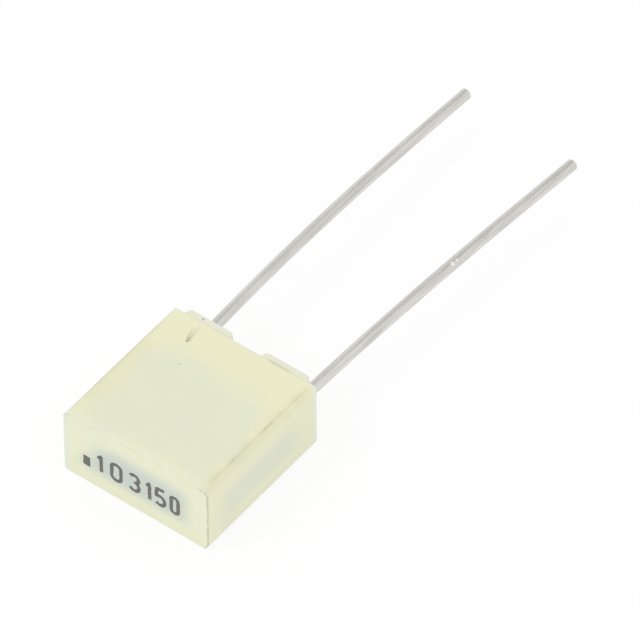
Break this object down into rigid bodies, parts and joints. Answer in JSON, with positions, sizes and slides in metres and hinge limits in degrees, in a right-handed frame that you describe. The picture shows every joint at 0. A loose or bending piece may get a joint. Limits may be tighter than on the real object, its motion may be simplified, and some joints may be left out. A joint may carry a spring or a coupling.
{
  "type": "box film capacitor",
  "caption": "Moulded plastic box film capacitor with stand-off feet, a resin-sealed end and long tinned wire leads for a circuit board.",
  "frame": {"origin": "midway between the two leads, on the plane of the feet that stand on the board", "axes": "+X along the lead pitch towards the right lead, +Y along the leads away from the case, +Z out of the upper broad side"},
  "size_m": [0.0074, 0.0248, 0.0034],
  "materials": {
    "case_plastic": "satin",
    "potting_resin": "satin",
    "metallised_film": "satin",
    "cover_film": "gloss",
    "sprayed_metal": "matte",
    "tinned_wire": "satin"
  },
  "bodies": {
    "root": {"case": "case_plastic", "potting_resin": "potting_resin", "film_stack": "metallised_film", "cover_film_upper": "cover_film", "cover_film_lower": "cover_film", "end_spray_left": "sprayed_metal", "end_spray_right": "sprayed_metal", "lead_left": "tinned_wire", "lead_right": "tinned_wire"}
  },
  "joints": []
}
